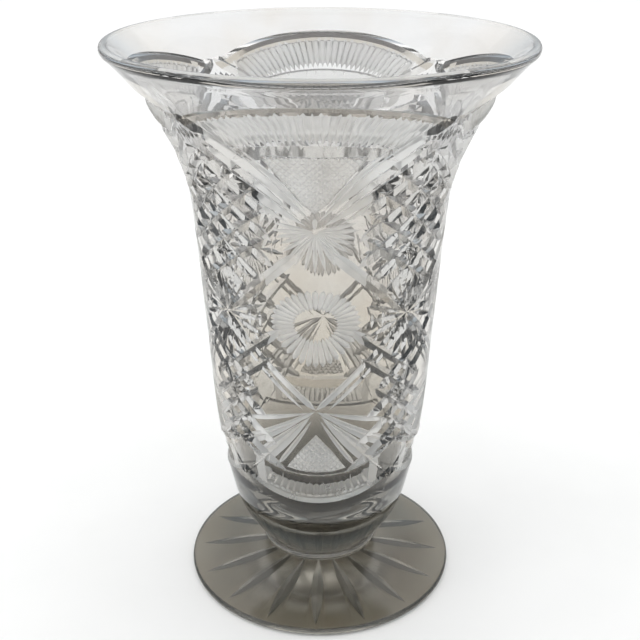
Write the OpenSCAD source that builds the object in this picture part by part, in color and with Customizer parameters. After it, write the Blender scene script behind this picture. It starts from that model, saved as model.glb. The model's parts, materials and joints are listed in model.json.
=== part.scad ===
// Footed cut-crystal vase: a flared bowl and a round foot, joined by a collar.
// The bowl and foot are plain blanks here; the foot has its underside star.
// Millimetres. +Z is up and the origin is the middle of the resting face.

/* [Overall] */
// Height over all
height = 254; // [240:1:270]
// Diameter over the rim
rim_d = 177; // [170:0.5:184]
// Diameter of the foot
foot_d = 127.6; // [118:0.1:136]

/* [Bowl] */
// Outside radius where the bowl meets the collar
heel_r = 26.8; // [25:0.1:27.5]
// Outside radius at the top of the rounded base
hip_r = 45.5; // [43:0.1:48]
// Height of the top of the rounded base
hip_z = 64; // [58:1:70]
// Outside radius where the flare begins
neck_r = 55; // [52:0.1:58]
// Height where the flare begins
neck_z = 185; // [175:1:195]
// Thickness of the rounded lip
lip_t = 4.2; // [3.6:0.1:5]
// Wall thickness at the hip
hip_wall = 6.8; // [5:0.1:8]
// Wall thickness at the neck
neck_wall = 5.4; // [4:0.1:6.5]
// Height of the inside floor
floor_z = 30; // [26:1:34]

/* [Collar] */
// Radius of the collar
collar_r = 28; // [27.6:0.1:30]
// Thickness of the collar
collar_h = 3.6; // [3:0.1:4.4]

/* [Foot] */
// Thickness of the foot at its middle
foot_mid_h = 13.6; // [12:0.1:15]
// Thickness of the foot at its edge
foot_edge_h = 3.4; // [3:0.1:4.5]
// Number of rays in the underside star
star_rays = 16; // [12:2:20]
// Radius at which a ray begins
ray_in = 16; // [12:1:20]
// Radius at which a ray ends
ray_out = 58.5; // [52:0.5:58.5]
// Depth of a ray
ray_depth = 1.7; // [1:0.1:2.2]
// Width of a ray
ray_w = 5.6; // [4:0.1:7]

/* [Hidden] */
$fn = 180;
collar_z = foot_mid_h;
heel_z = collar_z + collar_h;
heel_lean = 0.78;   // outward run per unit of rise where the bowl leaves the collar
hip_lean = 0.19;
neck_lean = 0.08;
rim_lean = 1.1;
curve_n = 10;       // straight pieces in each curve of an outline

// A point on the cubic curve a, b, c, d at t from 0 to 1.
function bezier(a, b, c, d, t) =
    pow(1 - t, 3) * a + 3 * t * pow(1 - t, 2) * b + 3 * t * t * (1 - t) * c + pow(t, 3) * d;
// The curve's points, without its first one.
function curve(a, b, c, d, n = curve_n) = [for (i = [1:n]) bezier(a, b, c, d, i / n)];
// A step of rise dz along a wall that leans out by lean.
function rise(lean, dz) = [lean * dz, dz];
// Points of an arc about c, from angle a0 to a1.
function arc(c, r, a0, a1, n) = [for (i = [0:n]) c + r * [cos(a0 + (a1 - a0) * i / n),
                                                          sin(a0 + (a1 - a0) * i / n)]];

// The lip is a half round about its own centre, square to the flaring wall.
lip_r = lip_t / 2;
lip_c = [rim_d / 2 - lip_r, height - lip_r];
rim_angle = atan(rim_lean);
lip_out = lip_c + lip_r * [cos(rim_angle), -sin(rim_angle)];
lip_in = lip_c - lip_r * [cos(rim_angle), -sin(rim_angle)];
function lip() = [for (a = [-36:18:126]) lip_c + lip_r * [cos(a), sin(a)]];

function outer_outline() =
    let (heel = [heel_r, heel_z], hip = [hip_r, hip_z], neck = [neck_r, neck_z])
    concat(
        [[0, heel_z], heel],
        curve(heel, heel + rise(heel_lean, 16.5), hip - rise(hip_lean, 25), hip),
        curve(hip, hip + rise(hip_lean, 24), neck - rise(neck_lean, 60), neck),
        curve(neck, neck + rise(neck_lean, 31), lip_out - rise(rim_lean, 7), lip_out));

function inner_outline() =
    let (hip = [hip_r - hip_wall, hip_z], neck = [neck_r - neck_wall, neck_z],
         middle = [0, floor_z])
    concat(
        curve(lip_in, lip_in - rise(rim_lean, 8), neck + rise(neck_lean, 33), neck),
        curve(neck, neck - rise(neck_lean, 60), hip + rise(hip_lean, 24), hip),
        curve(hip, hip - rise(hip_lean, 22), middle + [24, 0], middle));

module bowl() {
    color([0.90, 0.93, 0.94, 0.55])
        rotate_extrude()
            polygon(concat(outer_outline(), lip(), [lip_in], inner_outline()));
}

module collar() {
    bead = collar_h / 2;
    color([0.86, 0.90, 0.92, 0.55])
        rotate_extrude()
            polygon(concat([[0, collar_z]],
                           arc([collar_r - bead, collar_z + bead], bead, -90, 90, 10),
                           [[0, heel_z]]));
}

// One ray: a long four-sided hollow, deepest in its middle and pointed at both ends.
// The solid that cuts it is a pyramid upside down, twice as large as the hollow.
module ray() {
    reach = ray_out - ray_in;
    color([0.84, 0.84, 0.80, 0.55])
        translate([(ray_in + ray_out) / 2, 0, ray_depth])
            polyhedron(
                points = [[0, 0, 0], [-reach, 0, -2 * ray_depth], [0, -ray_w, -2 * ray_depth],
                          [reach, 0, -2 * ray_depth], [0, ray_w, -2 * ray_depth]],
                faces = [[0, 1, 4], [0, 4, 3], [0, 3, 2], [0, 2, 1], [1, 2, 3, 4]]);
}

module foot() {
    foot_r = foot_d / 2;
    edge = foot_edge_h / 2;
    seat = [collar_r - collar_h / 2, foot_mid_h];
    edge_top = [foot_r - edge, foot_edge_h];
    color([0.84, 0.84, 0.80, 0.55])
        difference() {
            rotate_extrude()
                polygon(concat([[0, 0]], arc([foot_r - edge, edge], edge, -90, 90, 10),
                               curve(edge_top, edge_top + [-16, 1.6], seat + [12, -2.2], seat),
                               [[0, foot_mid_h]]));
            for (i = [0:star_rays - 1]) rotate([0, 0, i * 360 / star_rays]) ray();
        }
}

foot();
collar();
bowl();
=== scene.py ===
"""Footed cut-crystal vase: a wheel-cut bowl, a collar and a star-cut foot on a pale studio floor."""

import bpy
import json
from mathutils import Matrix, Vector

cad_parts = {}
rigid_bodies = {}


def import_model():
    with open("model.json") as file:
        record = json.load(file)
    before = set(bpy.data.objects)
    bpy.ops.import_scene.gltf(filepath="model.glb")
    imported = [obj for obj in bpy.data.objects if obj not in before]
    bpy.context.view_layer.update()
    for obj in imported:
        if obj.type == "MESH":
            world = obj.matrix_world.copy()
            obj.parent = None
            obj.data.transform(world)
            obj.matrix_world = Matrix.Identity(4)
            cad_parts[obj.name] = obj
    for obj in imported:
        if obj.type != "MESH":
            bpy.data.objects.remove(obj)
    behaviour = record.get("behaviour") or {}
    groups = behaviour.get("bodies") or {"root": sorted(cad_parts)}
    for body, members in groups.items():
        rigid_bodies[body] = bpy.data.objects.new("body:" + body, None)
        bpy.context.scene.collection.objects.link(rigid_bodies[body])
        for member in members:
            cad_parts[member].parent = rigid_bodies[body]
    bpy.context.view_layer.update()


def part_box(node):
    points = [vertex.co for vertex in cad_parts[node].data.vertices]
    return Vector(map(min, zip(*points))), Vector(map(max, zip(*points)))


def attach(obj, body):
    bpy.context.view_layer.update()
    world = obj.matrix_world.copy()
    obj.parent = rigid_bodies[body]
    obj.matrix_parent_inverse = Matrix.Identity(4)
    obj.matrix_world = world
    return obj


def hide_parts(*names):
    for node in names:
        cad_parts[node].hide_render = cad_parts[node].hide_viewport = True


bl_info = {
    "name": "Cut Crystal Vase",
    "version": (1, 0, 0),
    "blender": (4, 5, 0),
    "location": "3D View > Sidebar > Vase",
    "description": "Builds a footed, wheel-cut crystal vase around its packed CAD frame",
    "category": "Object",
}

import json
import math

import bmesh
import bpy
import numpy as np
from mathutils import Matrix, Vector

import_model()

MM = 0.001
PANEL = 90.0             # degrees of azimuth in one cut panel; four go round the bowl
HALF = PANEL / 2         # a half panel is cut, and its mirror image completes the panel
SHEET_SCALE = 0.88       # flat millimetres per degree of azimuth on the half panel's slab
FOOT_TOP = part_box("foot")[1].z / MM
BOWL_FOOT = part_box("bowl")[0].z / MM
BOWL_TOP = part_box("bowl")[1].z / MM
BOWL_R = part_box("bowl")[1].x / MM
FOOT_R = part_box("foot")[1].x / MM
COLLAR_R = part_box("collar")[1].x / MM


# ---------------------------------------------------------------- sizes that a user would change

class BowlSizes(bpy.types.PropertyGroup):
    heel_r: bpy.props.FloatProperty(
        name="Heel radius", description="Outside radius on the collar, mm",
        default=26.8, min=20, max=30)
    hip_r: bpy.props.FloatProperty(
        name="Hip radius", description="Outside radius above the base, mm",
        default=45.5, min=40, max=50)
    hip_z: bpy.props.FloatProperty(
        name="Hip height", description="Height of the hip, mm",
        default=64.0, min=55, max=75)
    neck_r: bpy.props.FloatProperty(
        name="Neck radius", description="Outside radius under the flare, mm",
        default=55.0, min=50, max=60)
    neck_z: bpy.props.FloatProperty(
        name="Neck height", description="Height where the flare begins, mm",
        default=185.0, min=170, max=200)
    lip_t: bpy.props.FloatProperty(
        name="Lip", description="Thickness of the rounded lip, mm",
        default=4.2, min=3, max=6)
    hip_wall: bpy.props.FloatProperty(
        name="Hip wall", description="Wall thickness at the hip, mm",
        default=6.8, min=4, max=9)
    neck_wall: bpy.props.FloatProperty(
        name="Neck wall", description="Wall thickness at the neck, mm",
        default=5.4, min=3.5, max=8)
    floor_z: bpy.props.FloatProperty(
        name="Floor", description="Height of the inside floor, mm",
        default=30.0, min=25, max=40)
    turns: bpy.props.IntProperty(
        name="Steps round", description="Facets round the plain glass",
        default=96, min=48, max=240)


class CutSizes(bpy.types.PropertyGroup):
    sheet_low: bpy.props.FloatProperty(
        name="Pattern foot", description="Height below which the bowl is plain, mm",
        default=46.0, min=40, max=56)
    sheet_high: bpy.props.FloatProperty(
        name="Pattern top", description="Height above which the bowl is plain, mm",
        default=247.0, min=244, max=248)
    arm_w: bpy.props.FloatProperty(
        name="Arm width", description="Width of the long crossing mitres, mm",
        default=5.0, min=1.5, max=6)
    arm_d: bpy.props.FloatProperty(
        name="Arm depth", description="Depth of the long crossing mitres, mm",
        default=1.9, min=0.5, max=3)
    petals: bpy.props.IntProperty(
        name="Petals", description="Flutes round the daisy",
        default=36, min=16, max=60)
    fan_pitch: bpy.props.FloatProperty(
        name="Fan pitch", description="Degrees between flutes of the upper fan",
        default=2.45, min=1.8, max=4)
    fine_pitch: bpy.props.FloatProperty(
        name="Fine pitch", description="Pitch of the fine diamonds, mm",
        default=1.75, min=0.9, max=2.5)
    sharp: bpy.props.FloatProperty(
        name="Sharp edge", description="Edges that turn more than this stay crisp",
        default=math.radians(16), subtype="ANGLE")


# ---------------------------------------------------------------- small mesh helpers

def new_piece(name, bm, collection=None):
    mesh = bpy.data.meshes.new(name)
    bm.to_mesh(mesh)
    bm.free()
    piece = bpy.data.objects.new(name, mesh)
    (collection or bpy.context.scene.collection).objects.link(piece)
    return piece


def evaluated_mesh(piece):
    graph = bpy.context.evaluated_depsgraph_get()
    return bpy.data.meshes.new_from_object(piece.evaluated_get(graph))


def carve(piece, cutters, how="DIFFERENCE", batch=24):
    """Applies one boolean for each cutter, a batch at a time."""
    for start in range(0, len(cutters), batch):
        for cutter in cutters[start:start + batch]:
            boolean = piece.modifiers.new("cut", "BOOLEAN")
            boolean.operation = how
            boolean.solver = "MANIFOLD"
            boolean.object = cutter
        mesh = evaluated_mesh(piece)
        old = piece.data
        piece.modifiers.clear()
        piece.data = mesh
        bpy.data.meshes.remove(old)


def drop(pieces):
    for piece in pieces:
        mesh = piece.data
        bpy.data.objects.remove(piece)
        bpy.data.meshes.remove(mesh)


# ---------------------------------------------------------------- outline of the blank

def bezier(a, b, c, d, steps):
    """Points of a cubic curve, its first one left out."""
    a, b, c, d = (Vector(p) for p in (a, b, c, d))
    points = []
    for i in range(1, steps + 1):
        t = i / steps
        points.append((1 - t) ** 3 * a + 3 * t * (1 - t) ** 2 * b + 3 * t * t * (1 - t) * c + t ** 3 * d)
    return points


def lean(slope, rise):
    return Vector((slope * rise, rise))


HEEL_LEAN = 0.78         # outward run per unit of rise, as the CAD outline has it
HIP_LEAN = 0.19
NECK_LEAN = 0.08
RIM_LEAN = 1.1


def lip_frame(s):
    """Centre of the lip's half round, its radius and the outward direction across the wall."""
    r = s.lip_t / 2
    angle = math.atan(RIM_LEAN)
    return Vector((BOWL_R - r, BOWL_TOP - r)), r, Vector((math.cos(angle), -math.sin(angle)))


def outer_outline(s, steps=40):
    centre, r, across = lip_frame(s)
    heel, hip = Vector((s.heel_r, BOWL_FOOT)), Vector((s.hip_r, s.hip_z))
    neck, rim = Vector((s.neck_r, s.neck_z)), centre + r * across
    points = [heel]
    points += bezier(heel, heel + lean(HEEL_LEAN, 16.5), hip - lean(HIP_LEAN, 25), hip, steps)
    points += bezier(hip, hip + lean(HIP_LEAN, 24), neck - lean(NECK_LEAN, 60), neck, steps)
    points += bezier(neck, neck + lean(NECK_LEAN, 31), rim - lean(RIM_LEAN, 7), rim, steps)
    return points


def inner_outline(s, steps=14):
    centre, r, across = lip_frame(s)
    rim, neck = centre - r * across, Vector((s.neck_r - s.neck_wall, s.neck_z))
    hip, middle = Vector((s.hip_r - s.hip_wall, s.hip_z)), Vector((0, s.floor_z))
    points = [rim]
    points += bezier(rim, rim - lean(RIM_LEAN, 8), neck + lean(NECK_LEAN, 33), neck, steps)
    points += bezier(neck, neck - lean(NECK_LEAN, 60), hip + lean(HIP_LEAN, 24), hip, steps)
    points += bezier(hip, hip - lean(HIP_LEAN, 22), middle + Vector((24, 0)), middle, steps)
    return points


class Blank:
    """The uncut outside of the bowl: radius and lean at a height."""

    def __init__(self, s):
        points = outer_outline(s, 240)
        self.z = np.array([p.y for p in points])
        self.r = np.array([p.x for p in points])
        self.slope = np.gradient(self.r, self.z)

    def radius(self, z):
        return float(np.interp(z, self.z, self.r))

    def place(self, azimuth, z, depth):
        """The point that lies depth below the blank's surface, in millimetres."""
        slope = float(np.interp(z, self.z, self.slope))
        size = math.hypot(1, slope)
        r = self.radius(z) - depth / size
        return Vector((r * math.sin(azimuth), -r * math.cos(azimuth), z + depth * slope / size))


# ---------------------------------------------------------------- the wheels that cut the pattern

SLAB_T = 5.0             # thickness of the flat slab that is cut, mm
PROUD = 0.4              # how far a cutter stands above the slab, mm
SECTION_V = 3            # corners of a mitre wheel's section
SECTION_ROUND = 8        # corners of a fluting wheel's section


def run_in(x):
    """Depth of a wheel's cut as it runs in, from 0 at x = 0 to full at x = 1."""
    return 1.0 if x >= 1 else max(x, 0.0) * (2 - max(x, 0.0))


def unit_prism(corners, stations):
    bm = bmesh.new()
    bmesh.ops.create_cone(bm, cap_ends=True, segments=corners, radius1=1, radius2=1, depth=1)
    for i in range(1, stations):
        level = (0, 0, i / stations - 0.5)
        geom = bm.verts[:] + bm.edges[:] + bm.faces[:]
        bmesh.ops.bisect_plane(bm, geom=geom, dist=1e-6, plane_co=level, plane_no=(0, 0, 1))
    return bm


class Cut:
    """One pass of a wheel along a smooth line through three points of the half panel."""

    def __init__(self, points, width, depth, ends=(0.5, 0.5), rounded=False, stations=10, flare=1.0):
        self.points, self.width, self.depth = points, width, depth
        self.ends, self.rounded, self.stations, self.flare = ends, rounded, stations, flare

    def mirrored(self, about):
        points = [(2 * about - a, z) for a, z in self.points]
        return Cut(points, self.width, self.depth, self.ends, self.rounded, self.stations, self.flare)

    def crosses(self, a, reach=3.5):
        sides = [p[0] - a for p in self.points]
        return min(sides) < reach and max(sides) > -reach

    def flat_points(self):
        points = [Vector((a * SHEET_SCALE, z)) for a, z in self.points]
        if len(points) == 2:
            points.insert(1, (points[0] + points[1]) / 2)
        return points

    def station(self, t):
        """Place, direction across, depth and half width at t from 0 to 1."""
        p0, mid, p1 = self.flat_points()
        bend = 2 * mid - (p0 + p1) / 2
        place = (1 - t) ** 2 * p0 + 2 * t * (1 - t) * bend + t * t * p1
        along = 2 * (1 - t) * (bend - p0) + 2 * t * (p1 - bend)
        across = Vector((-along.y, along.x)).normalized()
        share = run_in(t / self.ends[0]) * run_in((1 - t) / self.ends[1])
        share *= 1 + (self.flare - 1) * t
        depth = max(self.depth * share, 0.01)
        return place, across, depth, max(self.width / 2 * share, 0.01)

    def section(self, corner, depth, half):
        """Sideways and upward place of one corner of the wheel's section."""
        if not self.rounded:
            wide = half * (depth + PROUD) / depth if depth > 0.05 else self.width / self.depth / 2 * PROUD
            return [(0, -depth), (wide, PROUD), (-wide, PROUD)][corner]
        if corner < 2:
            return [(-half - 0.02, PROUD), (half + 0.02, PROUD)][corner]
        angle = math.pi * (corner - 2) / (SECTION_ROUND - 3)
        return half * math.cos(angle), -depth * math.sin(angle)

    def solid(self, collection):
        corners = SECTION_ROUND if self.rounded else SECTION_V
        bm = unit_prism(corners, self.stations)
        for v in bm.verts:
            corner = round(math.atan2(v.co.y, v.co.x) / (2 * math.pi / corners)) % corners
            place, across, depth, half = self.station(v.co.z + 0.5)
            side, up = self.section(corner, depth, half)
            v.co = (*(place + side * across), up)
        if bm.calc_volume(signed=True) < 0:
            bmesh.ops.reverse_faces(bm, faces=bm.faces)
        return new_piece("cutter", bm, collection)


def outline_prism(points, collection, low=-4.0, high=2.0):
    """A block that stands on an outline of the half panel."""
    bm = bmesh.new()
    face = bm.faces.new([bm.verts.new((a * SHEET_SCALE, z, low)) for a, z in points])
    out = bmesh.ops.extrude_face_region(bm, geom=[face])
    top = [v for v in out["geom"] if isinstance(v, bmesh.types.BMVert)]
    bmesh.ops.translate(bm, verts=top, vec=(0, 0, high - low))
    bmesh.ops.recalc_face_normals(bm, faces=bm.faces)
    return new_piece("outline", bm, collection)


def comb(centre, turn, pitch, depth, span, collection, lowered=0.08):
    """A block whose underside is a row of V teeth, the tool for one direction of fine diamonds."""
    count = 2 * math.ceil(span / pitch)
    bm = bmesh.new()
    size = Matrix.Diagonal((2 * span, count * pitch, 2, 1))
    bmesh.ops.create_cube(bm, size=1, matrix=Matrix.Translation((0, 0, 1 - lowered)) @ size)
    for i in range(1, 2 * count):
        line = (0, (i - count) * pitch / 2, 0)
        geom = bm.verts[:] + bm.edges[:] + bm.faces[:]
        bmesh.ops.bisect_plane(bm, geom=geom, dist=1e-6, plane_co=line, plane_no=(0, 1, 0))
    for v in bm.verts:
        if v.co.z < 0 and round(v.co.y / (pitch / 2) + count) % 2:
            v.co.z = -depth - lowered
    a, z = centre
    place = Matrix.Translation((a * SHEET_SCALE, z, 0)) @ Matrix.Rotation(turn, 4, "Z")
    bmesh.ops.transform(bm, matrix=place, verts=bm.verts)
    bmesh.ops.recalc_face_normals(bm, faces=bm.faces)
    return new_piece("comb", bm, collection)


def ledge(arc, profile, collection):
    """A step along an arc: its profile of (distance inside the arc, depth), spun about the arc's centre."""
    upward = arc.upward
    run = arc.half_span * SHEET_SCALE
    radius = run * run / (2 * arc.sag) + arc.sag / 2
    centre = Vector((0, arc.middle - upward * radius, 0))
    bm = bmesh.new()
    ring = [bm.verts.new((0, centre.y + upward * (radius - inside), -depth)) for inside, depth in profile]
    face = bm.faces.new(ring)
    sweep = math.asin(min(1, (run + 14) / radius))
    start = math.asin(min(1, 10 / radius))
    turn = Matrix.Rotation(upward * start, 3, "Z")
    bmesh.ops.rotate(bm, verts=bm.verts, cent=centre, matrix=turn)
    geom = [face] + face.edges[:] + face.verts[:]
    bmesh.ops.spin(bm, geom=geom, cent=centre, axis=(0, 0, -upward), angle=start + sweep, steps=40,
                   use_merge=False, use_normal_flip=False, use_duplicate=False)
    bmesh.ops.recalc_face_normals(bm, faces=bm.faces)
    return new_piece("ledge", bm, collection)


# ---------------------------------------------------------------- the cut pattern of a half panel

FAN_NODE = (0.0, 190.0)      # where the upper arms cross on the panel's middle line
LOW_NODE = (0.0, 108.5)      # where the lower arms cross
SIDE_NODE = (HALF, 149.0)    # side corner of the flower lozenge, on the line between panels
SIDE_FOOT = (HALF, 86.0)
DAISY = (0.0, 149.5)


def between(p, q, t):
    return p[0] + (q[0] - p[0]) * t, p[1] + (q[1] - p[1]) * t


def turned(origin, degrees, length):
    """The point at that many flat millimetres from origin, degrees measured from straight up."""
    turn = math.radians(degrees)
    return origin[0] + length * math.sin(turn) / SHEET_SCALE, origin[1] + length * math.cos(turn)


def upper_fan(s):
    """Rounded flutes of the lunette under the rim, aimed at the upper crossing."""
    cuts = []
    for i in range(15):
        a = s.fan_pitch * (i + 0.5)
        top = (a, 239.6 - 0.0052 * a * a)
        foot = between(top, FAN_NODE, 0.235 + 0.002 * i)
        width = s.fan_pitch * SHEET_SCALE * 1.45
        cuts.append(Cut([top, foot], width, 2.2, ends=(0.12, 0.75), rounded=True, stations=8))
    return cuts


def lower_fan(s):
    """Rounded flutes of the lunette above the base, aimed at the lower crossing."""
    cuts = []
    pitch = 4.15
    for i in range(8):
        a = pitch * i
        low = (a, 60.6 + 0.0046 * a * a)
        high = between(low, LOW_NODE, 0.20)
        cuts.append(Cut([low, high], pitch * SHEET_SCALE * 1.35, 2.4, ends=(0.12, 0.35),
                        rounded=True, stations=8))
    return cuts


def upper_arms(s):
    """Long leaf mitres that rise from the upper crossing to the side of the lunette."""
    return [
        Cut([(1.5, 194.5), (26.5, 220.0), (HALF, 234.5)], s.arm_w, s.arm_d, ends=(0.5, 0.12),
            stations=16),
        Cut([(3.0, 192.0), (27.5, 208.0), (HALF + 4, 221.0)], s.arm_w, s.arm_d, ends=(0.5, 0.15),
            stations=16),
        Cut([(6.5, 196.0), (25.0, 213.0), (38.5, 223.5)], 3.6, 1.5, ends=(0.6, 0.3)),
        Cut([(3.5, 199.0), (15.0, 213.0), (27.0, 226.5)], 3.0, 1.3, ends=(0.6, 0.35)),
        Cut([(10.0, 193.0), (25.0, 202.0), (41.0, 210.5)], 3.0, 1.2, ends=(0.5, 0.5)),
        Cut([(-0.8, 221.6), (18.0, 221.6)], 1.5, 0.65, ends=(0.04, 0.1)),
    ]


# Degrees from straight up and length in mm of the rays round the upper crossing.
CROSSING_RAYS = ((0, 6), (78, 15), (90, 16), (102, 15), (114, 14), (127, 15), (140, 16), (153, 17),
                 (167, 17), (180, 18))


def crossing_star(s):
    """Fine rays round the upper crossing."""
    cuts = []
    for degrees, length in CROSSING_RAYS:
        start = turned(FAN_NODE, degrees, 0.6)
        cuts.append(Cut([start, turned(FAN_NODE, degrees, length)], 1.8, 0.7, ends=(0.6, 0.4), stations=8))
    return cuts


def flower_border(s):
    """The lozenge round the daisy: broad mitres above, narrow bright ones below."""
    return [
        Cut([(7.0, 180.5), (HALF, SIDE_NODE[1])], 4.8, 1.6, ends=(0.12, 0.3), stations=14),
        Cut([(0.6, 187.6), (10.5, 177.5)], 2.4, 1.0),
        Cut([(0.0, LOW_NODE[1] + 0.4), (HALF, SIDE_NODE[1])], 2.8, 1.2, ends=(0.08, 0.08), stations=14),
        Cut([(6.0, 108.9), (42.5, 141.5)], 1.8, 0.8, ends=(0.3, 0.3), stations=12),
    ]


def daisy(s):
    """Flutes that widen outwards from an oval boss."""
    cuts = []
    count = s.petals
    for i in range(count // 2 + 1):
        angle = 2 * math.pi * i / count
        sine, cosine = math.sin(angle), math.cos(angle)
        root = (DAISY[0] + 8.9 * sine, DAISY[1] + 6.6 * cosine)
        reach = 15.5 if cosine >= 0 else 15.5 + 4.5 * cosine * cosine
        tip = (DAISY[0] + 20.5 * sine, DAISY[1] + reach * cosine)
        cuts.append(Cut([root, tip], 1.4, 0.55, ends=(0.15, 0.2), rounded=True, flare=2.0, stations=8))
    return cuts


def corner_kites(s):
    """Short leaves and notches between the daisy and the lozenge's side corner."""
    cuts = [
        Cut([(43.0, 149.0), (25.0, 149.3)], 2.6, 1.1),
        Cut([(40.0, 150.6), (23.5, 156.5)], 2.4, 1.0),
        Cut([(40.0, 147.4), (23.5, 142.0)], 2.4, 1.0),
        Cut([(29.0, 156.0), (25.0, 163.0)], 1.8, 0.8),
        Cut([(29.0, 142.5), (25.0, 135.5)], 1.8, 0.8),
        Cut([(25.5, 146.0), (25.5, 153.0)], 1.8, 0.8),
        Cut([(31.0, 145.5), (31.0, 153.5)], 1.8, 0.8),
    ]
    return cuts


def side_fans(s):
    """Leaves that spread up and down from the corner between two flower lozenges."""
    cuts = []
    for degrees, length in ((0, 25), (-15, 25), (-30, 22), (-43, 17)):
        for lift, scale in ((degrees, 1.0), (180 - degrees, 0.92)):
            start = turned(SIDE_NODE, lift, 1.5)
            cuts.append(Cut([start, turned(SIDE_NODE, lift, length * scale)], 3.2, 1.5, ends=(0.55, 0.4)))
    return cuts


def side_lozenges(s):
    """The studded fields between neighbouring panels, above and below the side corner."""
    cuts = []
    for i in range(5):
        z = 169.5 + 11.0 * i
        run = min((z - 150.5) / 1.45, 27.0)
        cuts.append(Cut([(HALF + 3, z + 1.95), (HALF - run, z - 0.65 * run)], 5.0, 1.8, ends=(0.05, 0.2)))
        run = min((219.5 - z) / 1.25, 26.0)
        cuts.append(Cut([(HALF + 3, z - 1.95), (HALF - run, z + 0.65 * run)], 5.0, 1.8, ends=(0.05, 0.2)))
    for i in range(4):
        z = 95.5 + 10.0 * i
        run = min((z - 86.5) / 1.2, 30.0)
        cuts.append(Cut([(HALF + 3, z - 2.1), (HALF - run, z + 0.7 * run)], 4.5, 1.7, ends=(0.05, 0.2)))
        run = min((147.0 - z) / 1.55, 30.0)
        cuts.append(Cut([(HALF + 3, z + 2.1), (HALF - run, z - 0.7 * run)], 4.5, 1.7, ends=(0.05, 0.2)))
    return cuts


def side_stars(s):
    """Eight-pointed stars on the line between panels."""
    cuts = []
    for z, size in ((201.6, 9.5), (176.4, 11.0), (110.0, 8.5)):
        for degrees in (0, -45, -90, -135, 180):
            length = size * (1.0 if degrees % 90 == 0 else 0.8)
            tip = turned((HALF, z), degrees, length)
            cuts.append(Cut([(HALF, z), tip], 2.2, 1.7, ends=(0.2, 0.8), stations=8))
    return cuts


def lower_arms(s):
    """Rays that fall from the lower crossing towards the foot of the side field."""
    return [
        Cut([(3.0, 107.8), (39.0, 99.5)], 2.6, 1.1, ends=(0.7, 0.3)),
        Cut([(0.5, 108.2), (HALF + 2, SIDE_FOOT[1] - 1)], 2.2, 1.0, ends=(0.1, 0.1), stations=12),
        Cut([(4.0, 106.0), (25.0, 93.5), (41.0, 86.0)], 3.8, 1.5, ends=(0.75, 0.25)),
        Cut([(3.0, 105.5), (19.0, 93.0), (31.5, 82.5)], 2.8, 1.3, ends=(0.7, 0.18)),
        Cut([(2.5, 106.0), (22.0, 86.0), (HALF, 66.0)], s.arm_w, s.arm_d, ends=(0.5, 0.15), stations=16),
        Cut([(1.5, 104.5), (11.0, 91.0), (20.5, 79.0)], 2.2, 1.0, ends=(0.6, 0.2)),
        Cut([(28.0, 80.0), (38.0, 84.0), (HALF + 3, 87.5)], 2.6, 1.2, ends=(0.2, 0.1)),
    ]


def end_diamonds(s):
    """Short flutes in the small diamonds where two lunettes meet, high and low."""
    cuts = []
    for i in range(4):
        a = HALF - 8.4 + 2.4 * i
        rise = 5.6 - 0.62 * abs(HALF - a)
        for z, reach in ((226.5, rise * 0.5), (76.0, rise * 0.6)):
            cuts.append(Cut([(a, z - reach), (a, z + reach)], 1.9, 0.8, rounded=True, stations=8))
    return cuts


# Outlines of the fine diamonds, each closed along the panel's middle line.
UPPER_FIELD = ((0, 197.5), (5.0, 202.0), (10.8, 210.5), (17.5, 221.3), (-0.5, 221.3))
LOWER_FIELD = ((0, 96.5), (8.0, 88.0), (15.5, 78.4), (8.0, 76.9), (-0.5, 76.6))


# ---------------------------------------------------------------- the bowl

def cut_half_panel(s):
    """Cuts a flat slab, half a panel wide, with every wheel in turn."""
    width = HALF * SHEET_SCALE
    bm = bmesh.new()
    centre = Matrix.Translation((width / 2, (s.sheet_low + s.sheet_high) / 2, -SLAB_T / 2))
    size = Matrix.Diagonal((width, s.sheet_high - s.sheet_low, SLAB_T, 1))
    bmesh.ops.create_cube(bm, size=1, matrix=centre @ size)
    slab = new_piece("slab", bm)

    shop = bpy.data.collections.new("wheels")
    bpy.context.scene.collection.children.link(shop)
    steps = cut_ledges(shop)
    fields = cut_fields(s, shop)
    cuts = []
    for family in (upper_fan, lower_fan, upper_arms, crossing_star, flower_border, daisy, corner_kites,
                   side_fans, side_lozenges, side_stars, lower_arms, end_diamonds):
        for cut in family(s):
            cuts.append(cut)
            for about in (0.0, HALF):
                if cut.crosses(about):
                    cuts.append(cut.mirrored(about))
    wheels = [cut.solid(shop) for cut in cuts]
    carve(slab, steps + fields + wheels)
    drop(list(shop.objects))
    bpy.data.collections.remove(shop)
    return slab


class Arc:
    """A stepped arc of the half panel: its height on the middle line, and its sag at half its span."""

    def __init__(self, middle, sag, half_span, upward, step):
        self.middle, self.sag, self.half_span, self.upward, self.step = middle, sag, half_span, upward, step

    def above(self, azimuth, z):
        """Height above the arc's line."""
        return z - self.middle + self.upward * self.sag * (azimuth / self.half_span) ** 2

    def within(self, azimuth, z, band, span=None):
        """True in a band of heights from the arc's line, out to the span or else the arc's own."""
        low, high = band
        return azimuth < (span or self.half_span) and low < self.above(azimuth, z) < high

    def holds(self, azimuth, z):
        """True on the arc's step."""
        low, high = sorted((0, self.step))
        return self.within(azimuth, z, (low - 0.3, high + 0.3))


BROW = Arc(243.2, 11.0, 45, 1, 1.5)
SILL = Arc(227.2, 3.6, 28, 1, -0.9)
WAIST = Arc(75.2, 9.4, 41, -1, -1.5)
SKIRT = Arc(58.6, 7.6, 40, -1, 0.9)
FROSTED_ARCS = (SILL, WAIST, SKIRT)
LUNETTE_SPAN = 30.0          # half width of the frosted flutes of the lower lunette, degrees
BROW_HOLLOW = (-3.4, 0.2)    # heights of the hollow under the brow, which gets painted shade, from its line, mm
SILL_SLOPE = (-5.7, -1.2)    # of the clear slope under the sill
WAIST_HOLLOW = (-5.5, -1.8)  # and of the hollow under the waist, which gets painted shade


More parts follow.
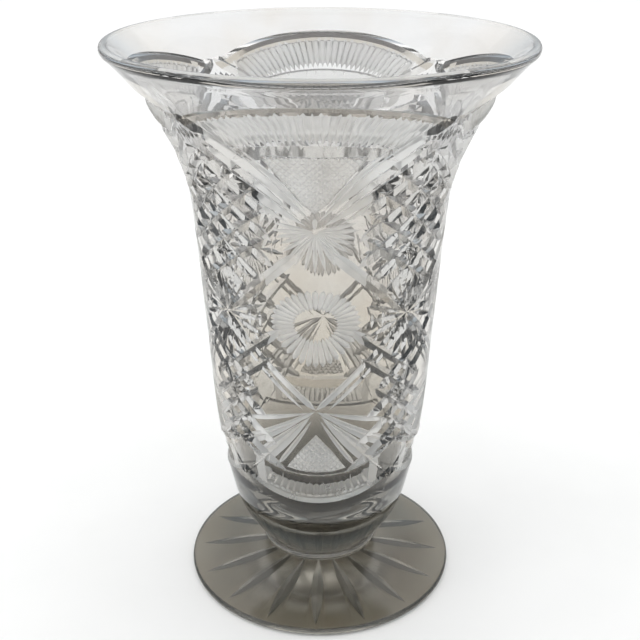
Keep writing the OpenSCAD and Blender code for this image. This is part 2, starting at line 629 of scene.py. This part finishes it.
def cut_ledges(shop):
    """The stepped arcs: two round the upper lunette and two round the lower one."""
    region = outline_prism(((-9, 250), (-9, 196), (2, 197), (26, 221), (46, 234.5), (46, 250)), shop)
    brow = ledge(BROW, ((0, -1), (0, 0), (1.5, 1.1), (3.4, 1.5), (14.4, -0.1), (14.4, -1)), shop)
    sill = ledge(SILL, ((0, -1), (0, 0.1), (0.9, 1.0), (5.8, 0.05), (5.8, -1)), shop)
    carve(brow, [region], "INTERSECT")
    carve(sill, [region], "INTERSECT")
    waist = ledge(WAIST, ((0, -1), (0, 0), (-1.5, 1.0), (-3.2, 1.25), (-13.0, 1.25), (-13.0, -1)), shop)
    skirt = ledge(SKIRT, ((0, -1), (0, 0.1), (1.6, 1.25), (6.0, 1.25), (6.0, -1)), shop)
    return [brow, sill, waist, skirt]


def cut_fields(s, shop):
    """The two triangles of fine diamonds."""
    tools = []
    for field, centre, pitch, depth in ((UPPER_FIELD, (0, 210), s.fine_pitch, 0.65),
                                        (LOWER_FIELD, (0, 87), s.fine_pitch * 1.25, 0.85)):
        for turn in (48, -48):
            teeth = comb(centre, math.radians(turn), pitch, depth, 34, shop)
            carve(teeth, [outline_prism(field, shop)], "INTERSECT")
            tools.append(teeth)
    return tools


def trim_sheet(slab, s, turns):
    """Keeps the slab's cut face, divides it for bending and makes it triangles."""
    bm = bmesh.new()
    bm.from_mesh(slab.data)
    width, tiny = HALF * SHEET_SCALE, 1e-3

    def lies_on_side(face):
        xs, ys = [v.co.x for v in face.verts], [v.co.y for v in face.verts]
        return (max(v.co.z for v in face.verts) < -SLAB_T + 0.2 or max(xs) < tiny or min(xs) > width - tiny
                or max(ys) < s.sheet_low + tiny or min(ys) > s.sheet_high - tiny)

    gone = [face for face in bm.faces if lies_on_side(face)]
    bmesh.ops.delete(bm, geom=gone, context="FACES")
    bmesh.ops.triangulate(bm, faces=bm.faces, quad_method="BEAUTY", ngon_method="BEAUTY")
    bmesh.ops.dissolve_degenerate(bm, dist=1e-3, edges=bm.edges)
    columns = round(HALF * turns / 360)
    for i in range(1, columns):
        slice_sheet(bm, (width * i / columns, 0, 0), (1, 0, 0))
    rows = 14
    for i in range(1, rows):
        slice_sheet(bm, (0, s.sheet_low + (s.sheet_high - s.sheet_low) * i / rows, 0), (0, 1, 0))
    bmesh.ops.triangulate(bm, faces=bm.faces, quad_method="BEAUTY", ngon_method="BEAUTY")
    return bm


def slice_sheet(bm, place, across):
    geom = bm.verts[:] + bm.edges[:] + bm.faces[:]
    bmesh.ops.bisect_plane(bm, geom=geom, dist=1e-4, plane_co=place, plane_no=across)


def spun(points, turns, start=0.0):
    """A surface of revolution from (radius, height) points in millimetres."""
    bm = bmesh.new()
    turn = Matrix.Rotation(start, 3, "Z")
    verts = [bm.verts.new(turn @ Vector((0, -r, z)) * MM) for r, z in points]
    edges = [bm.edges.new(pair) for pair in zip(verts, verts[1:])]
    bmesh.ops.spin(bm, geom=verts + edges, cent=(0, 0, 0), axis=(0, 0, 1), angle=2 * math.pi, steps=turns,
                   use_merge=True, use_normal_flip=False, use_duplicate=False)
    bmesh.ops.remove_doubles(bm, verts=bm.verts, dist=1e-6)
    return bm


def plain_parts(s, sizes):
    """The bowl's plain glass: its base below the pattern, and the rim, lip and inside above it."""
    blank = Blank(sizes)
    outline = outer_outline(sizes)
    base = [(0, BOWL_FOOT), (9, BOWL_FOOT), (18, BOWL_FOOT)]
    base += [(p.x, p.y) for p in outline[::2] if p.y < s.sheet_low - 1]
    base.append((blank.radius(s.sheet_low), s.sheet_low))
    rim = [(blank.radius(s.sheet_high), s.sheet_high)]
    rim += [(p.x, p.y) for p in outline[::2] if p.y > s.sheet_high + 0.4]
    if rim[-1] != tuple(outline[-1]):
        rim.append(tuple(outline[-1]))
    centre, r, across = lip_frame(sizes)
    first = math.atan2(across.y, across.x)
    for i in range(1, 12):
        angle = first + math.pi * i / 12
        rim.append((centre.x + r * math.cos(angle), centre.y + r * math.sin(angle)))
    rim += [tuple(p) for p in inner_outline(sizes)]
    return base, rim


def cut_bowl(sizes, s):
    """Bends four mirrored pairs of half panels round the blank and closes them with the plain glass."""
    slab = cut_half_panel(s)
    sheet = trim_sheet(slab, s, sizes.turns)
    drop([slab])
    blank = Blank(sizes)
    bm = bmesh.new()
    half = bpy.data.meshes.new("half_panel")
    sheet.to_mesh(half)
    sheet.free()
    for quarter in range(4):
        for side in (1, -1):
            known = set(bm.verts)
            bm.from_mesh(half)
            middle = math.radians(PANEL * quarter)
            for v in bm.verts:
                if v not in known:
                    azimuth = middle + side * math.radians(v.co.x / SHEET_SCALE)
                    v.co = blank.place(azimuth, v.co.y, -v.co.z) * MM
    bpy.data.meshes.remove(half)
    for points in plain_parts(s, sizes):
        part = spun(points, sizes.turns)
        mesh = bpy.data.meshes.new("plain")
        part.to_mesh(mesh)
        part.free()
        bm.from_mesh(mesh)
        bpy.data.meshes.remove(mesh)
    bmesh.ops.remove_doubles(bm, verts=bm.verts, dist=3e-6)
    bmesh.ops.recalc_face_normals(bm, faces=bm.faces)
    return bm


def crisp(bm, limit):
    """Smooth glass with crisp edges where the surface turns by more than the limit."""
    for face in bm.faces:
        face.smooth = True
    for edge in bm.edges:
        edge.smooth = len(edge.link_faces) == 2 and edge.calc_face_angle(0) < limit


def share_finishes(piece, heights, kind, finishes):
    """Gives each face its finish: polished, mitred, satin, frosted, painted shade in a hollow, or the
    hidden flat of a hot joint.
    """
    for finish in finishes:
        piece.data.materials.append(finish)
    for face in piece.data.polygons:
        flat = abs(face.normal.z) > 0.999
        at_joint = any(abs(face.center.z / MM - z) < 0.01 for z in heights)
        face.material_index = WELD if flat and at_joint else kind(face)


# ---------------------------------------------------------------- finishes

POLISHED, MITRE, SATIN, FROST, PAINTED_SHADE, WELD = range(6)      # order of a piece's finishes
CUT_SHALLOW = 0.06       # a face deeper than this below the blank's skin is a cut facet, mm
CUT_DEEP = 3.4           # and a face deeper than this is the inside of the wall
STEP_DEEP = 1.3          # a frosted step is no deeper than this
HEEL_EDGE = -0.3         # below this height from the skirt's line the heel is polished
SATIN_SPAN = 22.0        # half width of the satin cuts about a panel's middle, degrees
WIDE_SATIN_SPAN = 36.0   # and outside the next two heights
SATIN_LOW, SATIN_HIGH = 105, 215
MITRE_CLEAR, SATIN_CLEAR, FROST_CLEAR = 0.93, 0.5, 0.7     # share of the light that goes through
FROST_ROUGH = 0.3


class GlassLooks(bpy.types.PropertyGroup):
    # Painted shade: the tint, middle and heel colours form a ramp by height, darker and warmer towards the
    # foot.
    tint: bpy.props.FloatVectorProperty(
        name="Tint", description="Colour of the crystal at the rim",
        subtype="COLOR", size=3, default=(0.82, 0.82, 0.825), min=0, max=1)
    middle_painted_shade: bpy.props.FloatVectorProperty(
        name="Middle tint", description="Colour a third of the way up",
        subtype="COLOR", size=3, default=(0.76, 0.73, 0.67), min=0, max=1)
    # Painted shade: the heel's near-black colour darkens the thick base.
    heel_painted_shade: bpy.props.FloatVectorProperty(
        name="Heel tint", description="Colour of the thick glass of the heel",
        subtype="COLOR", size=3, default=(0.12, 0.115, 0.10), min=0, max=1)
    # Painted shade: the low end of the cut finishes' ramps, darker towards the foot.
    low_cut_painted_shade: bpy.props.FloatVectorProperty(
        name="Satin tint", description="Colour of the low satin cuts",
        subtype="COLOR", size=3, default=(0.68, 0.66, 0.61), min=0, max=1)
    frost_tint: bpy.props.FloatVectorProperty(
        name="Frost tint", description="Colour of the low frosted steps",
        subtype="COLOR", size=3, default=(0.84, 0.83, 0.81), min=0, max=1)
    mitre_tint: bpy.props.FloatVectorProperty(
        name="Mitre tint", description="Colour of the side fields",
        subtype="COLOR", size=3, default=(0.67, 0.665, 0.65), min=0, max=1)
    # Painted shade: a dark warm colour for the hollows of the lunettes.
    painted_hollow_shade: bpy.props.FloatVectorProperty(
        name="Shade tint", description="Colour of the lunettes' hollows",
        subtype="COLOR", size=3, default=(0.38, 0.34, 0.28), min=0, max=1)
    stain_tint: bpy.props.FloatVectorProperty(
        name="Stain tint", description="Warm drift of the colour in patches",
        subtype="COLOR", size=3, default=(0.95, 0.92, 0.88), min=0, max=1)
    foot_polish: bpy.props.FloatProperty(
        name="Foot polish", description="Roughness of the worn foot",
        default=0.14, min=0, max=0.5)
    # Painted shade: the collar, foot and star colours are dark warm greys that darken the glass under the
    # bowl.
    collar_painted_shade: bpy.props.FloatVectorProperty(
        name="Collar tint", description="Colour of the collar",
        size=3, subtype="COLOR", default=(0.38, 0.36, 0.32), min=0, max=1)
    foot_painted_shade: bpy.props.FloatVectorProperty(
        name="Foot tint", description="Colour of the foot",
        size=3, subtype="COLOR", default=(0.57, 0.54, 0.47), min=0, max=1)
    star_painted_shade: bpy.props.FloatVectorProperty(
        name="Star tint", description="Colour of the star's rays",
        size=3, subtype="COLOR", default=(0.34, 0.34, 0.32), min=0, max=1)
    ior: bpy.props.FloatProperty(
        name="Refraction", description="Refractive index of lead crystal",
        default=1.54, min=1.4, max=1.8)
    polish: bpy.props.FloatProperty(
        name="Polish", description="Roughness of polished glass",
        default=0.012, min=0, max=0.3)
    mitre: bpy.props.FloatProperty(
        name="Mitre polish", description="Roughness of the mitres of the side fields",
        default=0.06, min=0, max=0.5)
    satin: bpy.props.FloatProperty(
        name="Satin", description="Roughness of the flutes and fine diamonds",
        default=0.17, min=0, max=0.5)


def crystal(name, looks, shades, roughness, ripple, clear=1.0):
    """Crystal coloured from foot to rim by a ramp that paints shade, darker and warmer towards the foot:
    its polish varies a little, and faint wheel marks ripple it.
    """
    material = bpy.data.materials.new(name)
    material.use_nodes = True
    tree = material.node_tree
    glass = tree.nodes["Principled BSDF"]
    glass.inputs["Transmission Weight"].default_value = clear
    glass.inputs["IOR"].default_value = looks.ior
    place = tree.nodes.new("ShaderNodeTexCoord")
    split = tree.nodes.new("ShaderNodeSeparateXYZ")
    height = tree.nodes.new("ShaderNodeMapRange")
    height.inputs["From Max"].default_value = BOWL_TOP * MM
    # Painted shade: this colour ramp by height darkens and warms the glass towards the foot.
    shade = tree.nodes.new("ShaderNodeValToRGB")
    low, middle, top = shades
    shade.color_ramp.elements[0].color = (*low, 1)
    shade.color_ramp.elements[0].position = 0.17
    shade.color_ramp.elements[1].color = (*top, 1)
    shade.color_ramp.elements[1].position = 0.85
    shade.color_ramp.elements.new(0.33).color = (*middle, 1)
    cloud = tree.nodes.new("ShaderNodeTexNoise")
    cloud.inputs["Scale"].default_value = 34.0
    cloud.inputs["Detail"].default_value = 5.0
    stain = tree.nodes.new("ShaderNodeValToRGB")
    stain.color_ramp.elements[0].position = 0.44
    stain.color_ramp.elements[0].color = (1, 1, 1, 1)
    stain.color_ramp.elements[1].position = 0.72
    stain.color_ramp.elements[1].color = (*looks.stain_tint, 1)
    clouded = tree.nodes.new("ShaderNodeVectorMath")
    clouded.operation = "MULTIPLY"
    tree.links.new(place.outputs["Object"], split.inputs["Vector"])
    tree.links.new(split.outputs["Z"], height.inputs["Value"])
    tree.links.new(height.outputs["Result"], shade.inputs["Fac"])
    tree.links.new(place.outputs["Object"], cloud.inputs["Vector"])
    tree.links.new(cloud.outputs["Fac"], stain.inputs["Fac"])
    tree.links.new(shade.outputs["Color"], clouded.inputs[0])
    tree.links.new(stain.outputs["Color"], clouded.inputs[1])
    tree.links.new(clouded.outputs["Vector"], glass.inputs["Base Color"])
    grain = tree.nodes.new("ShaderNodeTexNoise")
    grain.inputs["Scale"].default_value = 90.0
    grain.inputs["Detail"].default_value = 3.0
    polish = tree.nodes.new("ShaderNodeMapRange")
    polish.inputs["To Min"].default_value = roughness * 0.4
    polish.inputs["To Max"].default_value = roughness * 1.6
    waves = tree.nodes.new("ShaderNodeTexNoise")
    waves.inputs["Scale"].default_value = 240.0
    bump = tree.nodes.new("ShaderNodeBump")
    bump.inputs["Strength"].default_value = ripple
    bump.inputs["Distance"].default_value = 0.0002
    tree.links.new(place.outputs["Object"], grain.inputs["Vector"])
    tree.links.new(place.outputs["Object"], waves.inputs["Vector"])
    tree.links.new(grain.outputs["Fac"], polish.inputs["Value"])
    tree.links.new(polish.outputs["Result"], glass.inputs["Roughness"])
    tree.links.new(waves.outputs["Fac"], bump.inputs["Height"])
    tree.links.new(bump.outputs["Normal"], glass.inputs["Normal"])
    return material


def weld_finish():
    """The inside of a hot joint, where there is no surface to see."""
    material = bpy.data.materials.get("hot_joint")
    if material is None:
        material = bpy.data.materials.new("hot_joint")
        material.use_nodes = True
        shader = material.node_tree.nodes["Principled BSDF"]
        shader.inputs["Alpha"].default_value = 0.0
        shader.inputs["Specular IOR Level"].default_value = 0.0
    return material


def floor_finish(colour):
    material = bpy.data.materials.new("pale_floor")
    material.use_nodes = True
    tree = material.node_tree
    paint = tree.nodes["Principled BSDF"]
    paint.inputs["Roughness"].default_value = 0.75
    place = tree.nodes.new("ShaderNodeTexCoord")
    mottle = tree.nodes.new("ShaderNodeTexNoise")
    mottle.inputs["Scale"].default_value = 14.0
    mottle.inputs["Detail"].default_value = 5.0
    ramp = tree.nodes.new("ShaderNodeValToRGB")
    ramp.color_ramp.elements[0].position = 0.3
    ramp.color_ramp.elements[0].color = (*[c * 0.97 for c in colour], 1)
    ramp.color_ramp.elements[1].position = 0.7
    ramp.color_ramp.elements[1].color = (*colour, 1)
    tree.links.new(place.outputs["Object"], mottle.inputs["Vector"])
    tree.links.new(mottle.outputs["Fac"], ramp.inputs["Fac"])
    tree.links.new(ramp.outputs["Color"], paint.inputs["Base Color"])
    return material


# ---------------------------------------------------------------- foot and collar

class FootSizes(bpy.types.PropertyGroup):
    edge_h: bpy.props.FloatProperty(
        name="Edge", description="Thickness at the foot's edge, mm",
        default=3.4, min=2.5, max=5)
    rays: bpy.props.IntProperty(
        name="Rays", description="Rays in the star underneath",
        default=16, min=8, max=32)
    ray_in: bpy.props.FloatProperty(
        name="Ray start", description="Radius at which a ray begins, mm",
        default=16.0, min=8, max=24)
    ray_out: bpy.props.FloatProperty(
        name="Ray end", description="Radius at which a ray ends, mm",
        default=58.5, min=45, max=60)
    ray_w: bpy.props.FloatProperty(
        name="Ray width", description="Widest width of a ray, mm",
        default=5.4, min=2, max=8)
    ray_d: bpy.props.FloatProperty(
        name="Ray depth", description="Depth of a ray, mm",
        default=1.7, min=0.5, max=2.2)


def foot_outline(s):
    """Half section of the foot, from the middle of its top round to the middle of its underside."""
    edge = s.edge_h / 2
    bead = (BOWL_FOOT - FOOT_TOP) / 2
    seat = Vector((COLLAR_R - bead, FOOT_TOP))
    brow = Vector((FOOT_R - edge, s.edge_h))
    points = [(0, FOOT_TOP), (10, FOOT_TOP), (20, FOOT_TOP), tuple(seat)]
    top = bezier(seat, seat + Vector((12, -2.2)), brow + Vector((-16, 1.6)), brow, 20)
    points += [tuple(p) for p in top]
    for i in range(1, 13):
        angle = math.pi / 2 - math.pi * i / 12
        points.append((FOOT_R - edge + edge * math.cos(angle), edge + edge * math.sin(angle)))
    return points + [(0, 0)]


def cut_foot(s):
    """The blank foot, with leaf-shaped rays sunk into its underside."""
    blank = spun([(r, z) for r, z in foot_outline(s)], 144)
    bmesh.ops.transform(blank, matrix=Matrix.Scale(1 / MM, 4), verts=blank.verts)
    bmesh.ops.recalc_face_normals(blank, faces=blank.faces)
    foot = new_piece("foot_star_cut", blank)
    wheels = []
    for i in range(s.rays):
        ray = Cut([(0.0, s.ray_in), (0.0, s.ray_out)], s.ray_w, s.ray_d, ends=(0.5, 0.5), stations=18)
        wheel = ray.solid(bpy.context.scene.collection)
        turn = Matrix.Rotation(2 * math.pi * i / s.rays, 4, "Z") @ Matrix.Rotation(math.pi, 4, "Y")
        wheel.data.transform(turn)
        wheels.append(wheel)
    carve(foot, wheels)
    drop(wheels)
    bm = bmesh.new()
    bm.from_mesh(foot.data)
    drop([foot])
    bmesh.ops.triangulate(bm, faces=[f for f in bm.faces if len(f.verts) > 4])
    bmesh.ops.transform(bm, matrix=Matrix.Scale(MM, 4), verts=bm.verts)
    return bm


def collar_outline():
    bead = (BOWL_FOOT - FOOT_TOP) / 2
    middle = (FOOT_TOP + BOWL_FOOT) / 2
    points = [(0, BOWL_FOOT), (10, BOWL_FOOT), (20, BOWL_FOOT), (COLLAR_R - bead - 0.1, BOWL_FOOT)]
    for i in range(17):
        angle = math.pi / 2 - math.pi * i / 16
        points.append((COLLAR_R - bead + bead * math.cos(angle), middle + bead * math.sin(angle)))
    return points + [(20, FOOT_TOP), (10, FOOT_TOP), (0, FOOT_TOP)]


# ---------------------------------------------------------------- stage

FILM = 0.0003            # the film of air between the foot and the floor


class StageSettings(bpy.types.PropertyGroup):
    lens: bpy.props.FloatProperty(
        name="Lens", description="Focal length, mm",
        default=57.1, min=20, max=200)
    distance: bpy.props.FloatProperty(
        name="Distance", description="From the vase's axis to the camera",
        default=0.4209, min=0.2, max=3, unit="LENGTH")
    height: bpy.props.FloatProperty(
        name="Height", description="Camera height above the floor",
        default=0.3205, min=0, max=2, unit="LENGTH")
    pitch: bpy.props.FloatProperty(
        name="Pitch", description="Downward tilt of the camera",
        default=math.radians(24.6), subtype="ANGLE")
    bearing: bpy.props.FloatProperty(
        name="Bearing", description="Camera's turn round the vase",
        default=math.radians(2.0), subtype="ANGLE")
    floor_colour: bpy.props.FloatVectorProperty(
        name="Floor", description="Colour of the floor",
        size=3, subtype="COLOR", default=(0.94, 0.935, 0.925), min=0, max=1)
    sky: bpy.props.FloatProperty(
        name="Sky", description="Strength of the soft light all round",
        default=1.15, min=0, max=5)


def add_camera(s):
    data = bpy.data.cameras.new("camera")
    data.lens = s.lens
    data.sensor_width = 36.0
    data.clip_start = 0.01
    camera = bpy.data.objects.new("camera", data)
    bpy.context.scene.collection.objects.link(camera)
    camera.location = (s.distance * math.sin(s.bearing), -s.distance * math.cos(s.bearing), s.height)
    camera.rotation_euler = (math.pi / 2 - s.pitch, 0, s.bearing)
    bpy.context.scene.camera = camera


def add_floor(s):
    bm = bmesh.new()
    bmesh.ops.create_circle(bm, cap_ends=True, segments=96, radius=3.0)
    bmesh.ops.translate(bm, verts=bm.verts, vec=(0, 0, -FILM))
    floor = new_piece("floor", bm)
    floor.data.materials.append(floor_finish(s.floor_colour))


def add_world(s):
    """A pale studio: bright overhead, dimmer near the horizon."""
    world = bpy.data.worlds.new("studio")
    bpy.context.scene.world = world
    world.use_nodes = True
    tree = world.node_tree
    light = tree.nodes["Background"]
    place = tree.nodes.new("ShaderNodeTexCoord")
    split = tree.nodes.new("ShaderNodeSeparateXYZ")
    ramp = tree.nodes.new("ShaderNodeValToRGB")
    ramp.color_ramp.elements[0].position = 0.0
    ramp.color_ramp.elements[0].color = (0.20, 0.20, 0.21, 1)
    ramp.color_ramp.elements[1].position = 0.6
    ramp.color_ramp.elements[1].color = (0.98, 0.98, 0.975, 1)
    ramp.color_ramp.elements.new(0.22).color = (0.42, 0.49, 0.55, 1)
    tree.links.new(place.outputs["Generated"], split.inputs["Vector"])
    tree.links.new(split.outputs["Z"], ramp.inputs["Fac"])
    tree.links.new(ramp.outputs["Color"], light.inputs["Color"])
    light.inputs["Strength"].default_value = s.sky


def add_lamp(name, place, target, size, power):
    data = bpy.data.lights.new(name, "AREA")
    data.shape = "RECTANGLE"
    data.size, data.size_y = size
    data.energy = power
    lamp = bpy.data.objects.new(name, data)
    bpy.context.scene.collection.objects.link(lamp)
    lamp.location = place
    lamp.rotation_euler = (Vector(target) - Vector(place)).to_track_quat("-Z", "Y").to_euler()


# ---------------------------------------------------------------- operators

def finish_piece(bm, name, slot, node, heights, limit, kind, shades, polish):
    """Makes the piece's object; shades are its polished, mitred and satin colours from low to high, with
    painted shade in them.
    """
    if any(len(edge.link_faces) != 2 for edge in bm.edges):
        raise RuntimeError(name + " is not closed")
    crisp(bm, limit)
    piece = new_piece(name, bm)
    looks = bpy.context.scene.vase_glass
    polished = crystal(slot, looks, shades[0], polish, 0.02)
    mitre = crystal(slot + "_mitre", looks, shades[1], looks.mitre, 0.04, clear=MITRE_CLEAR)
    satin = crystal(slot + "_satin", looks, shades[2], looks.satin, 0.06, clear=SATIN_CLEAR)
    # Painted shade: the frosted steps' colour ramp is darker towards the foot.
    frosted = (looks.low_cut_painted_shade, looks.frost_tint, looks.frost_tint)
    frost = crystal(slot + "_frost", looks, frosted, FROST_ROUGH, 0.1, clear=FROST_CLEAR)
    # Painted shade for the hollows of the lunettes.
    shade = crystal(slot + "_shade", looks, [looks.painted_hollow_shade] * 3, looks.mitre, 0.04)
    share_finishes(piece, heights, kind, (polished, mitre, satin, frost, shade, weld_finish()))
    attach(piece, "root")
    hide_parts(node)
    return piece


class VASE_OT_bowl(bpy.types.Operator):
    """Build the wheel-cut bowl"""
    bl_idname = "vase.bowl"
    bl_label = "Cut bowl"

    def execute(self, context):
        scene = context.scene
        bm = cut_bowl(scene.vase_bowl, scene.vase_cuts)
        blank = Blank(scene.vase_bowl)

        def kind(face):
            x, y, z = (c / MM for c in face.center)
            depth = blank.radius(z) - math.hypot(x, y)
            off_middle = abs((math.degrees(math.atan2(x, -y)) + HALF) % PANEL - HALF)
            over_skirt = SKIRT.above(off_middle, z)
            if not CUT_SHALLOW < depth < CUT_DEEP or over_skirt < HEEL_EDGE:
                return POLISHED
            if SILL.within(off_middle, z, SILL_SLOPE):
                return MITRE
            if depth < STEP_DEEP and any(arc.holds(off_middle, z) for arc in FROSTED_ARCS):
                # Painted shade: the hollows under the brow and the waist get the dark painted shade finish.
                return FROST
            if BROW.within(off_middle, z, BROW_HOLLOW):
                return PAINTED_SHADE
            if WAIST.within(off_middle, z, WAIST_HOLLOW, LUNETTE_SPAN):
                return PAINTED_SHADE
            if off_middle < LUNETTE_SPAN and over_skirt > 0 > WAIST.above(off_middle, z):
                return FROST
            span = SATIN_SPAN if SATIN_LOW < z < SATIN_HIGH else WIDE_SATIN_SPAN
            return SATIN if off_middle < span else MITRE

        looks = scene.vase_glass
        # Painted shade: each finish's colour ramp is darker and warmer towards the foot.
        clear = (looks.heel_painted_shade, looks.middle_painted_shade, looks.tint)
        cut = (looks.low_cut_painted_shade, looks.mitre_tint, looks.mitre_tint)
        satin = (looks.low_cut_painted_shade, looks.frost_tint, looks.frost_tint)
        finish_piece(bm, "cut_bowl", "bowl_crystal", "bowl", (BOWL_FOOT,), scene.vase_cuts.sharp, kind,
                     (clear, cut, satin), looks.polish)
        return {"FINISHED"}


class VASE_OT_collar(bpy.types.Operator):
    """Build the rounded collar between bowl and foot"""
    bl_idname = "vase.collar"
    bl_label = "Collar"

    def execute(self, context):
        looks = context.scene.vase_glass
        bm = spun(collar_outline(), 120)
        bmesh.ops.recalc_face_normals(bm, faces=bm.faces)
        joints = (FOOT_TOP, BOWL_FOOT)
        # Painted shade: the collar's colour is a dark warm grey.
        finish_piece(bm, "collar_button", "collar_crystal", "collar", joints, math.radians(50),
                     lambda face: POLISHED, [[looks.collar_painted_shade] * 3] * 3, looks.polish)
        return {"FINISHED"}


class VASE_OT_foot(bpy.types.Operator):
    """Build the round foot with the star beneath"""
    bl_idname = "vase.foot"
    bl_label = "Foot"

    def execute(self, context):
        looks = context.scene.vase_glass
        bm = cut_foot(context.scene.vase_foot)

        def kind(face):
            ray = face.normal.z < -0.2 and face.center.z > CUT_SHALLOW * MM
            return SATIN if ray else POLISHED

        # Painted shade: the foot's and the star's colours are dark warm greys.
        shades = [[tint] * 3 for tint in (looks.foot_painted_shade, looks.foot_painted_shade, looks.star_painted_shade)]
        finish_piece(bm, "star_foot", "foot_crystal", "foot", (FOOT_TOP,), math.radians(18), kind,
                     shades, looks.foot_polish)
        return {"FINISHED"}


class VASE_OT_stage(bpy.types.Operator):
    """Set up the camera, pale floor and soft light"""
    bl_idname = "vase.stage"
    bl_label = "Stage"

    def execute(self, context):
        settings = context.scene.vase_stage
        add_camera(settings)
        add_floor(settings)
        add_world(settings)
        add_lamp("overhead", (0.0, 0.9, 2.2), (0, 0, 0.1), (3.2, 3.2), 10)
        add_lamp("window", (-2.4, -0.8, 1.5), (0, 0, 0.15), (1.6, 2.4), 10)
        context.scene.view_settings.view_transform = "Standard"
        return {"FINISHED"}


class VASE_PT_panel(bpy.types.Panel):
    """Sizes and steps of the vase"""
    bl_label = "Cut crystal vase"
    bl_space_type = "VIEW_3D"
    bl_region_type = "UI"
    bl_category = "Vase"

    def draw(self, context):
        for group in GROUPS:
            for name in GROUPS[group].__annotations__:
                self.layout.prop(getattr(context.scene, group), name)
        for step in STEPS:
            self.layout.operator(step.bl_idname)


GROUPS = {"vase_bowl": BowlSizes, "vase_cuts": CutSizes, "vase_foot": FootSizes, "vase_glass": GlassLooks,
          "vase_stage": StageSettings}
STEPS = (VASE_OT_stage, VASE_OT_foot, VASE_OT_collar, VASE_OT_bowl)


def register():
    for cls in (*GROUPS.values(), *STEPS, VASE_PT_panel):
        bpy.utils.register_class(cls)
    for name, group in GROUPS.items():
        setattr(bpy.types.Scene, name, bpy.props.PointerProperty(type=group))


def unregister():
    for name in GROUPS:
        delattr(bpy.types.Scene, name)
    for cls in reversed((*GROUPS.values(), *STEPS, VASE_PT_panel)):
        bpy.utils.unregister_class(cls)


def main():
    register()
    bpy.ops.vase.stage()
    bpy.ops.vase.foot()
    bpy.ops.vase.collar()
    bpy.ops.vase.bowl()


if __name__ == "__main__":
    main()
